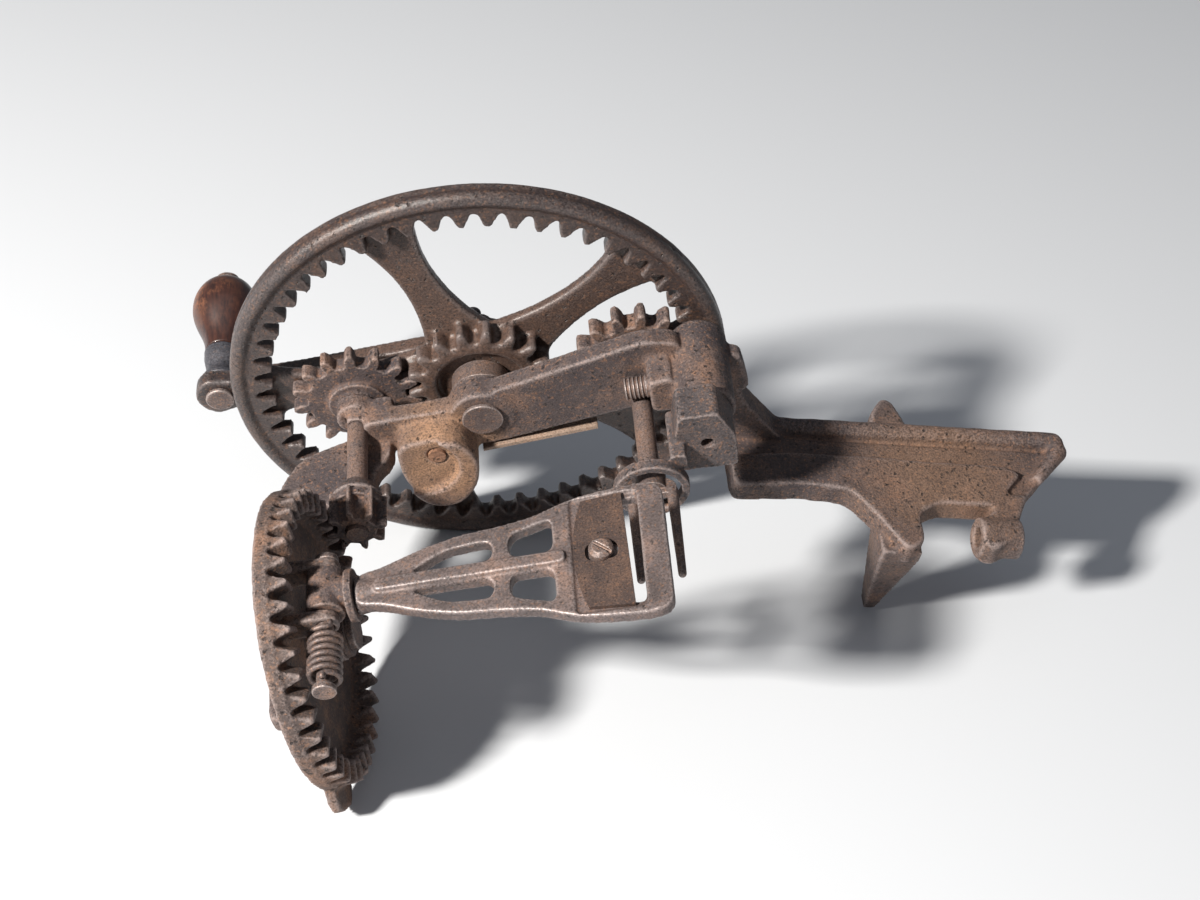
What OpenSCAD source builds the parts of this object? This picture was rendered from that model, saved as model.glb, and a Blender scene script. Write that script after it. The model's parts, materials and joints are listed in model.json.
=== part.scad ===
// Hand cranked apple peeler that clamps to a table edge, in millimetres.
// The row stands as it is used: Z up, the stem upright, the fork level and pointing to the front (-Y).
// The origin is on the clamp's upper jaw, where it rests on the table top.
// Most pieces are drawn in the machine frame of the module machine():
// x runs down the bar from the drive wheel's centre, y across the bar, z to the front.

/* [Gear train] */
// Tooth module of the cast wheel gears
gear_module = 2.7; // [2.6:0.05:2.8]
// Teeth inside the rim of the drive wheel
ring_teeth = 54; // [52:2:56]
// Teeth on the fork's pinion
fork_teeth = 14; // [13:1:15]
// Teeth on the hub of the drive wheel
hub_teeth = 17; // [16:1:18]
// Teeth on the intermediate gear
mid_teeth = 15; // [14:1:16]
// Teeth on the turntable's crown
crown_teeth = 40; // [38:2:42]
// Teeth on the small pinion that drives the crown
drive_teeth = 8; // [8:1:9]
// Pitch radius of the crown, where the pinion meets it
crown_pitch_r = 43; // [42.5:0.25:43.5]
// Amount by which every cast tooth is thinner than half its pitch
tooth_slack = 0.55; // [0.45:0.05:0.7]

/* [Drive wheel] */
// Outer radius of the rim
rim_r = 85; // [84:0.5:88]
// Axial width of the rim's teeth
ring_tooth_w = 6; // [5:0.5:7]
// Number of spokes
spoke_count = 5; // [4:1:6]
// Width of a spoke at its middle
spoke_w = 12; // [9:0.5:14]
// Radius at which the crank handle stands
crank_r = 92.5; // [90:0.5:98]
// Radius of the wheel's axle
axle_r = 5; // [4:0.25:6]

/* [Handle] */
// Largest radius of the wooden grip
grip_r = 12; // [10:0.25:13]
// Length of the wooden grip
grip_len = 34; // [28:1:38]
// Length of the metal ferrule under the grip
ferrule_len = 15; // [12:0.5:18]
// Radius of the stud that the grip turns on
stud_r = 3; // [2.5:0.25:3.5]

/* [Frame] */
// Angle between the upright stem and the bar
bar_lean = 18.7; // [16:0.1:21]
// Front face of the bar, in front of the wheel's middle
bar_front = 20; // [19:0.5:22]
// Thickness of the bar
bar_t = 7; // [6:0.5:8]
// Radius of the guide that the push-off slides in
guide_r = 10; // [9:0.25:11]

/* [Clamp] */
// Distance down the stem from the wheel's centre to the upper jaw's face
jaw_s = 150; // [148:0.5:156]
// Clear height of the clamp for the table top
clamp_gap = 23; // [20:0.5:28]
// Radius of the threaded hole for a thumbscrew
screw_hole_r = 3.5; // [3:0.25:4]
// Thickness of the stem's plate
stem_t = 7; // [6:0.5:9]

/* [Turntable] */
// Distance of the turntable's axis in front of the wheel's middle
table_z = 100; // [99.5:0.5:102]
// Tilt of the turntable's axis, about the intermediate shaft
table_tilt = 3.5; // [2.5:0.25:4]
// Outer radius of the turntable
table_r = 47.5; // [47:0.25:48.5]
// Radius of the stud that the turntable turns on
table_stud_r = 4; // [3.5:0.25:4.5]

/* [Knife arm] */
// Distance of the arm's hinge from the turntable's axis
hinge_y = 26; // [25:0.5:27]
// Radius of the hinge pin
hinge_r = 2.5; // [2:0.1:2.8]
// Length of the arm from its hinge to its end
arm_len = 105; // [102:0.5:106]
// Thickness of the arm's rails
arm_t = 4; // [3:0.25:5]
// Thickness of the blade
blade_t = 1.4; // [1:0.1:2]
// Curls of the hinge spring
spring_curls = 7; // [5:1:8]
// Wire radius of the hinge spring
wire_r = 0.9; // [0.8:0.05:1]

/* [Fork] */
// Radius of the fork's shaft
fork_r = 3.4; // [3:0.1:3.6]
// Half the distance between the two tines
tine_x = 6.5; // [6:0.25:7]
// Reach of the tines in front of the wheel's middle
tine_tip_z = 99; // [92:1:102]
// Reach of the push-off's rod in its guide, of which all but a third is its travel
push_reach = 33; // [28:1:33]

/* [Fits] */
// Radial clearance of a shaft that turns or slides in its bore
run_gap = 0.06; // [0.04:0.01:0.08]
// Radial clearance of a pin that is fixed in its hole
seat_gap = 0.02; // [0.01:0.01:0.03]
// Axial clearance beside a turning piece
side_gap = 0.3; // [0.3:0.05:0.5]

/* [Hidden] */
$fn = 48;
cast_iron = "#6b5a52";
dark_iron = "#4a413d";
rust = "#94613f";
steel = "#776a62";
wood = "#5a2f1f";

// Shaft places along the bar
pressure_angle = 20;
fork_x = gear_module * (ring_teeth - fork_teeth) / 2;
mid_x = -gear_module * (hub_teeth + mid_teeth) / 2;
crown_module = 2 * crown_pitch_r / crown_teeth;
drive_pitch_r = crown_module * drive_teeth / 2;
crown_x = mid_x - drive_pitch_r;

// Tooth heights of the gears
gear_add = 0.82 * gear_module;
gear_ded = 1.12 * gear_module;
ring_ded = 1.4 * gear_module;
ring_root_r = gear_module * ring_teeth / 2 + ring_ded;
crown_add = 1.65;
crown_ded = 4.2;
drive_ded = 2;
crown_tooth_w = 2.55;

// Drive wheel, from back to front
ring_front = ring_tooth_w / 2;
ring_back = -ring_tooth_w / 2;
rim_back = ring_front - 7;
gear_front = ring_front + 3;
gear_back = -1;
spoke_t = 4;
spoke_turn = 176.3;
spoke_back = gear_back - side_gap - spoke_t;
hub_r = 12;
crank_t = 5.5;
crank_front = rim_back - 4.5;
crank_back = crank_front - crank_t;
hub_back = crank_back - 1.5;
hub_recess_r = 15;
hub_recess = 3;
rim_face_r = max(rim_r - 6, ring_root_r + 1.5);
bead_r = 2.8;
bead_rise = 1.4;
groove_z = 0.8;

// Axle and shaft stations
axle_collar_r = 10;
axle_head_r = 7;
axle_head_t = 1.5;
washer_t = 1.6;
washer_r = 9.5;
cotter_r = 1;
axle_back = hub_back - washer_t - side_gap - 6;
cotter_z = hub_back - washer_t - side_gap - cotter_r - 0.4;
mid_shaft_r = 3.5;
collar_back = gear_front + 1;
collar_front = collar_back + 6;
lower_collar_back = 41.5;
lower_collar_front = 48.5;
drive_back = lower_collar_front + side_gap;
drive_front = 61;
collar_r = 7.2;

// Bar, guide and push-off
bar_back = bar_front - bar_t;
fork_boss_r = 8;
fork_boss_back = gear_front + 2.2;
guide_x = 75;
guide_y = 8;
guide_back = ring_front + 3.5;
guide_front = 40;
dome_r = 4;
push_rod_r = 5;
push_plate_t = 13.5;
push_plate_back = guide_front + 0.5;
push_collar_r = 12.4;
push_bore_r = tine_x + 3.1;
fork_base_z = 57;
fork_base_t = 7;
push_collar_back = fork_base_z + 3;
push_collar_t = 4;
push_hole_r = 2;
set_screw_r = 3.9;
set_screw_y = fork_r + set_screw_r + 0.7;
set_screw_z = bar_front + 5.5;
lug_front = 30;
lug_x = -17;
lug_y = -5;
leaf_x0 = -3;
leaf_y = -15.6;
leaf_t = 1.4;
leaf_pin_r = 1.5;

// Turntable and knife arm
rim_inner_r = crown_pitch_r - 4.5;
table_back = crown_x - 8.8;
web_t = 3.5;
boss_front = table_back - side_gap - 1.7;
boss_t = 10;
boss_r = 10;
table_hub_r = 9;
table_hub_front = crown_x + 4.5;
hinge_x = -46;
arm_face_y = hinge_y + arm_t;
hub_len_back = 3;
hub_len_front = 12;
arm_z = table_z + 7;
barrel_r = 6;
ear_t = 4;
ear_r = 4.4;
spring_room = 21;
tail_r = 55;
coil_r = 4.9;
neck_r = 5.6;
neck_x = hinge_x + 9.5;
arm_end = hinge_x + arm_len;
blade_screw_x = 39;

// Stem and clamp, measured down the stem
stem_n = -9;
stem_back = 11;
jaw_z = 55;
arm_low_s = jaw_s + clamp_gap;
tail_s = arm_low_s + 38;
web_front = 45;
jaw_front = 66;
rib_r = 3.5;
rib_n = stem_n + stem_t / 2 + 0.5;
rib_d = stem_back + 2;
rib_s = tail_s - 4;
web_rise = 2.4;
foot_n = -61;
low_boss_r = 7;
low_boss_top = arm_low_s - 1.8;
low_boss_t = 15.2;

function inv(a) = tan(a) - a * PI / 180;

// Half the angle that a tooth covers at radius r, in degrees
function tooth_half(r, rp, half) =
    (half + inv(pressure_angle) - inv(acos(min(1, rp * cos(pressure_angle) / r)))) * 180 / PI;

// Outline of an involute gear whose first tooth points along x
function gear_points(m, n, add, ded, slack) =
    let (rp = m * n / 2, half = PI / (2 * n) - slack / (2 * rp), root = rp - ded, tip = rp + add,
         base = max(root + 0.2, rp * cos(pressure_angle)),
         radii = [root, base, (base + rp) / 2, rp, rp + add / 2, tip])
    [for (k = [0:n - 1], side = [-1, 1], j = [0:len(radii) - 1])
        let (r = radii[side < 0 ? j : len(radii) - 1 - j], a = 360 * k / n + side * tooth_half(r, rp, half))
        r * [cos(a), sin(a)]];

// Rounds every corner of an outline with a short curve
function soft(points, cut = 3, steps = 4) =
    [for (i = [0:len(points) - 1])
        let (count = len(points), c = points[i],
             a = points[(i + count - 1) % count], b = points[(i + 1) % count],
             u = c + (a - c) * min(0.45, cut / norm(a - c)), v = c + (b - c) * min(0.45, cut / norm(b - c)))
        for (j = [0:steps]) let (t = j / steps) (1 - t) * (1 - t) * u + 2 * t * (1 - t) * c + t * t * v];

module machine()
    translate([-stem_n, jaw_z, jaw_s]) rotate([90, 0, 0]) rotate([0, 0, bar_lean - 90]) children();

// x down the stem, y towards +X, z to the front
module stem_frame()
    translate([-stem_n, jaw_z, jaw_s]) rotate([90, 0, 0]) rotate([0, 0, -90]) children();

// A round bar along z between two stations
module rod(r, z0, z1) translate([0, 0, z0]) cylinder(r = r, h = z1 - z0);

// A round bar along x between two stations
module rod_x(r, x0, x1) translate([x0, 0, 0]) rotate([0, 90, 0]) cylinder(r = r, h = x1 - x0);

// A flat plate between two stations along z
module slab(points, z0, z1) translate([0, 0, z0]) linear_extrude(z1 - z0) polygon(points);

// A plate drawn in x and z, between two stations along y
module side_slab(points, y0, y1)
    translate([0, y1, 0]) rotate([90, 0, 0]) linear_extrude(y1 - y0) polygon(points);

// A plate drawn in y and z, between two stations along x
module face_slab(points, x0, x1)
    translate([x0, 0, 0]) rotate([90, 0, 90]) linear_extrude(x1 - x0) polygon(points);

module on_table() translate([mid_x, 0, table_z]) rotate(table_tilt) translate([-mid_x, 0, 0]) children();

// Undoes the tilt, for what lies along the bar but belongs to the turntable
module level() translate([mid_x, 0, 0]) rotate(-table_tilt) translate([-mid_x, 0, 0]) children();

// Frame casting

module bar_casting() {
    slab(soft([[-41, -7], [-41, 5], [-8, 5], [2, 10], [58, 23], [70, 20], [72, -4], [50, -8], [22, -12],
               [2, -14.5], [-22, -15]], 4), bar_back, bar_front);
    rod(11, bar_back - 2.5, bar_front + 0.6);
    translate([fork_x, 0, 0]) rod(fork_boss_r, fork_boss_back, bar_front - 1);
}

// Rounded lug in front of the bar, with a raised rim round its free side
module front_lug() {
    outline = soft([[-30, 2], [-9, 3], [-3, -8], [-6, -22], [-15, -31], [-25, -29], [-31, -16]], 6);
    slab(outline, bar_back, lug_front);
    difference() {
        slab(outline, lug_front - 1, lug_front + 2.5);
        translate([lug_x - 7, lug_y - 3, 0]) rod(13.5, lug_front - 2, lug_front + 4);
    }
}

// Arm that carries both bearings of the intermediate shaft and the turntable's boss
module left_arm() {
    boss_back = boss_front - boss_t;
    translate([mid_x, 0, 0]) {
        rod(collar_r, collar_back, collar_front);
        translate([0, 0, lower_collar_back])
            cylinder(r1 = 5, r2 = 9.2, h = lower_collar_front - lower_collar_back);
    }
    side_slab(soft([[-33, collar_back + 4], [-48, 16], [-64, 21], [-71, 31], [boss_back, 39],
                    [boss_back, table_z + 26], [boss_front, table_z + 24], [boss_front, 46], [-60, 42.5],
                    [-55, 43], [-53, lower_collar_front], [-39, lower_collar_front],
                    [-39, 32], [-33, 26]], 4),
              -13, -5.5);
    on_table() rod_x(boss_r, boss_back, boss_front);
    slab(soft([[mid_x - 3, -12], [mid_x - 3, 5], [-30, 5], [-30, -13]], 2),
         collar_back + 1.5, collar_front + 4);
}

// Guide of the push-off at the bar's lower end
module push_guide() {
    translate([guide_x, guide_y, 0]) {
        dome = [for (a = [0:15:90]) [guide_r - dome_r * (1 - sin(a)), dome_r * (1 - cos(a))]];
        length = guide_front - guide_back;
        translate([0, 0, guide_back]) rotate_extrude()
            polygon(concat([[0, 0]], dome, [[guide_r, length], [0, length]]));
    }
    slab(soft([[guide_x, guide_y - 6], [guide_x + 8, guide_y + 2], [guide_x + 14, guide_y + 1],
               [guide_x + 15.5, guide_y - 16], [guide_x + 11, guide_y - 18]], 2.5),
         guide_back + 7, guide_back + 13);
}

// Raised pad that carries the set screw
module screw_lug()
    translate([fork_x, set_screw_y, 0])
        slab(soft([[3.5, -7], [3.5, 7], [12, 8], [12, -8]], 2), bar_back, set_screw_z + 6);

// Web between the guide and the stem
module stem_root()
    slab(soft([[62, 8], [84, 8], [88, -16], [100, -41], [114, -50], [104, -60], [84, -44], [66, -14]], 6),
         stem_back - 2, stem_back + 8);

module stem_plate() {
    low = stem_n - stem_t / 2;
    high = stem_n + stem_t / 2;
    lower_edge = [[arm_low_s + 7, web_front], [jaw_s + 8, web_front], [jaw_s, 50], [jaw_s, 63],
                  [jaw_s - 7, jaw_front], [jaw_s - 15, 52], [jaw_s - 23, 41], [110, 39.5], [86, 41.5]];
    upper_edge = [[86, stem_back], [tail_s - 3, stem_back], [tail_s, 17], [arm_low_s + 19, 39]];
    raised_edge = [[86, 28], [112, 25.5], [arm_low_s + 12, 27], [arm_low_s + 18.5, 30], [arm_low_s + 13, 36]];
    side_slab(soft(concat(upper_edge, lower_edge), 4), low, high);
    side_slab(soft(concat(raised_edge, lower_edge), 3.4), high - 1, high + web_rise);
    translate([0, rib_n, rib_d]) rod_x(rib_r, 104, rib_s);
    for (end = [[rib_s, rib_d], [rib_s + 1, 18]]) translate([end.x, rib_n, end.y]) sphere(r = rib_r);
    translate([rib_s + 0.5, rib_n, rib_d]) rod(rib_r, 0, 5);
    translate([rib_s + 1, rib_n, 18]) rotate([0, -39, 0]) cylinder(r1 = rib_r, r2 = rib_r - 1.5, h = 18);
}

// Groove that sets the rib off from the stem's plate
module rib_groove()
    translate([0, stem_n + stem_t / 2, rib_d + rib_r + 0.4]) rod_x(1, 108, rib_s - 6);

// Upper jaw: a foot that tapers to one side and a spur at the back, flush with the table face
module upper_jaw() {
    hull() {
        translate([jaw_s - 14, stem_n - 4, web_front + 1]) cube([14, 5, 18]);
        translate([jaw_s - 4, foot_n, web_front - 2]) cube([4, 2, 6]);
    }
    side_slab(soft([[jaw_s - 11, stem_back + 4], [jaw_s - 9, 3], [jaw_s - 4, -5], [jaw_s, -4],
                    [jaw_s + 6, stem_back + 4]], 3), stem_n - 5, stem_n + 3);
}

// Lower arm with the boss of the threaded hole
module lower_arm() {
    translate([arm_low_s, 0, 0])
        side_slab(soft([[7, 40], [6, 45], [1, 51], [-1.4, 57], [-1.4, 61], [2, 63.5], [7, 61], [11, 56],
                        [15, 47], [19, 39]], 2), stem_n - 5.5, stem_n + 5.5);
    translate([0, stem_n, jaw_z]) rod_x(low_boss_r, low_boss_top, low_boss_top + low_boss_t);
}

module frame() color(cast_iron) difference() {
    union() {
        machine() {
            bar_casting();
            front_lug();
            left_arm();
            push_guide();
            screw_lug();
            stem_root();
        }
        stem_frame() {
            stem_plate();
            upper_jaw();
            lower_arm();
        }
    }
    machine() {
        rod(axle_r + seat_gap, 0, bar_front + 5);
        translate([fork_x, 0, 0]) rod(fork_r + run_gap, 0, bar_front + 10);
        translate([mid_x, 0, 0]) rod(mid_shaft_r + run_gap, 0, lower_collar_front + 5);
        translate([guide_x, guide_y, 0]) rod(push_rod_r + run_gap, 0, guide_front + 5);
        translate([0, set_screw_y, set_screw_z]) rod_x(set_screw_r + seat_gap, fork_x - 10, fork_x + 13);
        on_table() rod_x(table_stud_r + seat_gap, table_back - 40, crown_x);
        translate([lug_x, lug_y, 0]) rod(3 + seat_gap, lug_front - 6, lug_front + 5);
        on_leaf() rod(leaf_pin_r + seat_gap, -5.2, 10);
    }
    stem_frame() {
        translate([0, stem_n, jaw_z]) rod_x(screw_hole_r, arm_low_s - 10, arm_low_s + 25);
        rib_groove();
    }
}

// Drive wheel and its axle

function spoke_half(r) = spoke_w / 2 + 7.5 * pow((r - 47) / 30, 2) * (r > 47 ? 1 : 0.8);

module spoke()
    slab(concat([for (r = [8:6:80]) [r, spoke_half(r)]], [for (r = [80:-6:8]) [r, -spoke_half(r)]]),
         spoke_back, spoke_back + spoke_t);

module rim() {
    difference() {
        rod(rim_face_r, rim_back, ring_front);
        slab(gear_points(gear_module, ring_teeth, ring_ded, gear_add, -tooth_slack / 2),
             ring_back, ring_front + 1);
        rod(ring_root_r + 0.4, rim_back - 1, ring_back + 0.01);
    }
    rotate_extrude() {
        translate([ring_root_r - 0.5, rim_back]) square([rim_r - 1.5 - ring_root_r, groove_z - rim_back]);
        translate([rim_r - bead_r, ring_front - bead_r + bead_rise]) circle(r = bead_r);
        translate([rim_r - 2, rim_back + 2.3]) circle(r = 2);
    }
}

module crank()
    slab(concat([[0, 8], [20, 8], [60, 6.5], [crank_r - 6, 6.5]],
                [for (a = [75:-15:-75]) [crank_r + 8.5 * cos(a), 8.5 * sin(a)]],
                [[crank_r - 6, -6.5], [60, -6.5], [20, -8], [0, -8]]), crank_back, crank_front + 0.5);

module drive_wheel() color(cast_iron) machine() difference() {
    union() {
        rim();
        for (i = [0:spoke_count - 1]) rotate(spoke_turn + 360 * i / spoke_count) spoke();
        rotate(180) crank();
        rotate(180)
            slab(gear_points(gear_module, hub_teeth, gear_add, gear_ded, tooth_slack), gear_back, gear_front);
        rod(gear_module * hub_teeth / 2 - gear_ded - 0.5, spoke_back - 0.6, gear_back + 0.5);
        rod(hub_r, hub_back, gear_back);
    }
    rod(axle_r + run_gap, hub_back - 1, gear_front + 1);
    rod(hub_recess_r, gear_front - hub_recess, gear_front + 1);
    translate([-crank_r, 0, 0]) rod(stud_r + seat_gap, crank_back - 1, crank_front + 2);
}

module wheel_axle() color(steel) machine() difference() {
    union() {
        rod(axle_r, axle_back, bar_front + 1);
        rod(axle_head_r, bar_front + 0.6, bar_front + 0.6 + axle_head_t);
        rod(axle_collar_r, gear_front - hub_recess + side_gap, bar_back - 2.5);
    }
    translate([0, 0, cotter_z]) rotate([90, 0, 0]) cylinder(r = cotter_r + seat_gap, h = 40, center = true);
}

module axle_washer() color(steel) machine() difference() {
    rod(washer_r, hub_back - side_gap - washer_t, hub_back - side_gap);
    rod(axle_r + seat_gap, hub_back - 10, hub_back + 1);
}

// Split pin: an eye, a shank and two bent ends
module axle_cotter() color(dark_iron) machine() translate([0, 0, cotter_z]) {
    rotate([90, 0, 0]) cylinder(r = cotter_r, h = 2 * axle_r + 6, center = true);
    translate([0, axle_r + 3 + 1.8, 0]) rotate_extrude() translate([1.9, 0]) circle(r = 0.95);
    for (side = [-1, 1])
        translate([0, -axle_r - 2.6, 0]) rotate([0, 0, side * 55]) rotate([90, 0, 0])
            cylinder(r = 0.75, h = 5.5);
}

// Crank handle

handle_front = crank_back - side_gap;
grip_front = handle_front - ferrule_len;
grip_back = grip_front - grip_len;
stud_back = grip_back - 1.2;

module on_handle() machine() translate([-crank_r, 0, 0]) children();

module handle_stud() color(steel) on_handle() {
    rod(stud_r, stud_back, crank_front + 2.2);
    rod(stud_r + 2, crank_front + 0.5, crank_front + 2.2);
    rod(stud_r + 1.5, stud_back - 1.2, grip_back - side_gap);
}

module handle_ferrule() color(dark_iron) on_handle() difference() {
    rotate_extrude()
        polygon([[0, grip_front], [6.2, grip_front], [6.6, grip_front + 4], [5.4, grip_front + 9],
                 [6.4, handle_front - 3], [7, handle_front - 2], [7, handle_front], [0, handle_front]]);
    rod(stud_r + run_gap, grip_front - 1, handle_front + 1);
}

// Radius of the grip from its ferrule (0) to its end (1): a waist that swells into a ball
function grip_radius(t) = t > 0.6 ? grip_r * sqrt(1 - pow((t - 0.6) / 0.44, 2))
                                  : 6.4 + (grip_r - 6.4) * pow(sin(150 * t), 2);

module handle_grip() color(wood) on_handle() difference() {
    rotate_extrude() polygon(concat([[0, grip_front]],
        [for (i = [0:14]) [grip_radius(i / 14), grip_front - grip_len * i / 14]], [[0, grip_back]]));
    rod(stud_r + run_gap, grip_back - 1, grip_front + 1);
}

// Intermediate shaft with its two gears

module mid_gear() color(cast_iron) machine() translate([mid_x, 0, 0]) difference() {
    union() {
        rotate(180 / mid_teeth)
            slab(gear_points(gear_module, mid_teeth, gear_add, gear_ded, tooth_slack),
                 gear_back, gear_front - 1.5);
        rod(10, gear_back, gear_front);
        rod(7, gear_back, gear_front + 1 - side_gap);
    }
    rod(mid_shaft_r + seat_gap, gear_back - 3, gear_front + 3);
}

module mid_shaft() color(steel) machine() translate([mid_x, 0, 0]) {
    rod(mid_shaft_r, gear_back, drive_front + 1.5);
}

module drive_pinion() color(cast_iron) machine() translate([mid_x, 0, 0]) difference() {
    union() {
        rotate(table_tilt)
            slab(gear_points(crown_module, drive_teeth, crown_add, drive_ded, tooth_slack + 0.5),
                 drive_back, drive_front);
        rod(drive_pitch_r, drive_back, drive_back + 3);
    }
    rod(mid_shaft_r + seat_gap, drive_back - 1, drive_front + 1);
}

// Turntable

module crown_tooth() {
    lean = tan(pressure_angle);
    tip = crown_tooth_w / 2 - crown_add * lean;
    foot = crown_tooth_w / 2 + (crown_ded + 0.5) * lean;
    translate([crown_x, 0, 0]) linear_extrude(table_r - rim_inner_r - 1.4)
        polygon([[-crown_ded - 0.5, -foot], [crown_add, -tip], [crown_add, tip], [-crown_ded - 0.5, foot]]);
}

// Ear of the knife arm's bracket between two stations along the hinge
module ear(z0, z1) translate([0, 0, z0]) linear_extrude(z1 - z0) {
    translate([hinge_x, hinge_y]) circle(r = ear_r);
    translate([table_back + 1, hinge_y - ear_r]) square([hinge_x - table_back - 1, 2 * ear_r]);
}

module turntable() color(cast_iron) machine() on_table() difference() {
    ear_z = [-hub_len_back - side_gap - ear_t, hub_len_front + side_gap];
    union() {
        difference() {
            rod_x(table_r, table_back, crown_x - crown_ded);
            rod_x(rim_inner_r, table_back + web_t, crown_x);
        }
        for (i = [0:crown_teeth - 1])
            rotate([360 * (i + 0.5) / crown_teeth, 0, 0]) translate([0, 0, -table_r + 0.6]) crown_tooth();
        rod_x(table_hub_r, table_back - side_gap - 1.4, table_hub_front);
        for (z = ear_z) level() ear(z, z + ear_t);
        rotate([40, 0, 0])
            face_slab(soft([[-13, 40], [-8, tail_r], [8, tail_r], [13, 40]], 5),
                      table_back, table_back + web_t);
    }
    rod_x(table_stud_r + run_gap, table_back - 10, 0);
    level() translate([hinge_x, hinge_y, 0]) rod(hinge_r + seat_gap, -60, 60);
}

module table_stud() color(steel) machine() on_table() {
    head = table_hub_front + side_gap + washer_t;
    rod_x(table_stud_r, boss_front - boss_t - 1, head + 2);
    rod_x(table_stud_r + 2.2, head, head + 2.5);
}

module stud_washer() color(steel) machine() on_table() difference() {
    rod_x(table_stud_r + 4, table_hub_front + side_gap, table_hub_front + side_gap + washer_t);
    rod_x(table_stud_r + seat_gap, table_hub_front - 5, table_hub_front + 10);
}

// Knife arm, drawn from its hinge

module on_hinge() machine() translate([hinge_x, hinge_y, table_z]) children();

module hinge_pin() color(steel) on_hinge() {
    back = -hub_len_back - side_gap - ear_t;
    front = spring_z + spring_room;
    rod(hinge_r, back - 0.8, front + 1.5);
    rod(hinge_r + 1.2, back - 2, back - 0.05);
    rod(hinge_r + 1.2, front, front + 2);
}

module arm_hub() color(cast_iron) on_hinge() difference() {
    flange = neck_x - hinge_x;
    union() {
        rod(barrel_r, -hub_len_back, hub_len_front);
        translate([0, 0, arm_z - table_z - 2]) rod_x(barrel_r - 0.5, 0, flange - 2.5);
        translate([0, 0, arm_z - table_z - 1]) rod_x(barrel_r + 2.2, flange - 2.5, flange);
    }
    rod(hinge_r + run_gap, -40, 40);
    translate([0, 0, arm_z - table_z]) rod_x(hinge_r + seat_gap, hinge_r + 1.5, 20);
}

spring_z = hub_len_front + 2 * side_gap + ear_t;

// Straight end of the wire, along the hinge
spring_leg = 2.4 * wire_r;
coil_pitch = (spring_room - 2 * side_gap - 2 * spring_leg) / spring_curls;
coil_steps = 8 * spring_curls;

function coil_point(t) =
    [coil_r * cos(45 * t), coil_r * sin(45 * t), side_gap + spring_leg + coil_pitch * t / 8];

coil_path = concat([[coil_r, 0, side_gap]], [for (t = [0:coil_steps]) coil_point(t)],
                   [[coil_r, 0, spring_room - side_gap]]);

function unit(v) = v / norm(v);

function path_dir(i) = unit(coil_path[min(i + 1, len(coil_path) - 1)] - coil_path[max(i - 1, 0)]);

// Six points round the wire at one place of its path
function wire_ring(i) =
    let (d = path_dir(i), out = unit([coil_path[i].x, coil_path[i].y, 0]), u = unit(out - d * (out * d)),
         v = cross(d, u))
    [for (k = [0:5]) coil_path[i] + wire_r * (cos(60 * k) * u + sin(60 * k) * v)];

// Least distance between two turns of the wire, surface to surface
spring_self_gap = min([for (i = [1:len(coil_path) - 8], j = [i + 6:min(i + 10, len(coil_path) - 1)])
                       norm(coil_path[i] - coil_path[j])]) - 2 * wire_r;
echo(spring_self_gap = spring_self_gap);

module arm_spring() color(steel) on_hinge() translate([0, 0, spring_z]) {
    count = len(coil_path);
    points = [for (i = [0:count - 1]) each wire_ring(i)];
    sides = [for (i = [0:count - 2], k = [0:5])
             let (a = 6 * i + k, b = 6 * i + (k + 1) % 6) each [[a, b, b + 6], [a, b + 6, a + 6]]];
    last = 6 * (count - 1);
    ends = [for (k = [1:4]) each [[0, k + 1, k], [last, last + k, last + k + 1]]];
    polyhedron(points, [for (f = concat(sides, ends)) [f[0], f[2], f[1]]]);
}

// Half width of the arm at a station along it, from the machine's wheel centre
arm_half_z = [[neck_x, 5.4], [-28, 6.8], [-18, 10.8], [-5, 14.4], [8, 15.5], [20, 17.5], [28, 21], [36, 22.8],
              [arm_end - 6, 24.3]];

function mirrored(points) = concat(points, [for (i = [len(points) - 1:-1:0]) [points[i].x, -points[i].y]]);

module arm_outline_slab(y0, y1, cut)
    side_slab(soft(mirrored(concat(arm_half_z, [[arm_end, 22]])), cut), y0, y1);

module arm_window(points, y0, y1)
    for (side = [-1, 1]) side_slab(soft([for (p = points) [p.x, side * p.y]], 3.5), y0, y1);

module on_arm() machine() translate([0, 0, arm_z]) children();

module knife_arm() color(cast_iron) on_arm() {
    low = hinge_y - 0.5;
    difference() {
        union() {
            arm_outline_slab(low, arm_face_y, 4);
            translate([neck_x + side_gap, hinge_y, 0]) rotate([0, 90, 0])
                cylinder(r1 = neck_r, r2 = 2.6, h = 19);
            side_slab(soft([[-30, -2.2], [-30, 2.2], [28, 2.2], [28, -2.2]], 1.5), low, arm_face_y + 1.4);
        }
        arm_window([[-20, 3.2], [-8, 9.6], [6, 10.6], [6, 3.2]], low - 1, arm_face_y + 1);
        arm_window([[11, 3.2], [11, 11.6], [19, 13.6], [24.5, 15.5], [24.5, 3.2]], low - 1, arm_face_y + 1);
        side_slab(soft([[43.6, -18.5], [43.6, 18.5], [51, 19.5], [51, -19.5]], 2), low - 1, arm_face_y + 1);
        side_slab(soft([[30, -21.3], [30, 21.3], [51, 21.5], [51, -21.5]], 2),
                  arm_face_y - 1, arm_face_y + 1);
        translate([blade_screw_x, 0, 0]) rotate([90, 0, 0])
            cylinder(r = 2.2 + seat_gap, h = 100, center = true);
    }
    translate([0, hinge_y, 0]) rod_x(hinge_r, hinge_x + hinge_r + 2, neck_x + 2);
}

module knife_blade() color(dark_iron) on_arm() difference() {
    y0 = arm_face_y - 1;
    bow = [for (a = [-20:2.5:20]) [88 - 57.5 * cos(a), 57.5 * sin(a)]];
    side_slab(concat(bow, [[47.6, 20.8], [46.4, -20.8]]), y0, y0 + blade_t);
    translate([blade_screw_x, 0, 0])
        side_slab(soft([[-5, -3.2], [-5, 3.2], [5, 3.2], [5, -3.2]], 2.8), y0 - 1, y0 + blade_t + 1);
}

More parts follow.
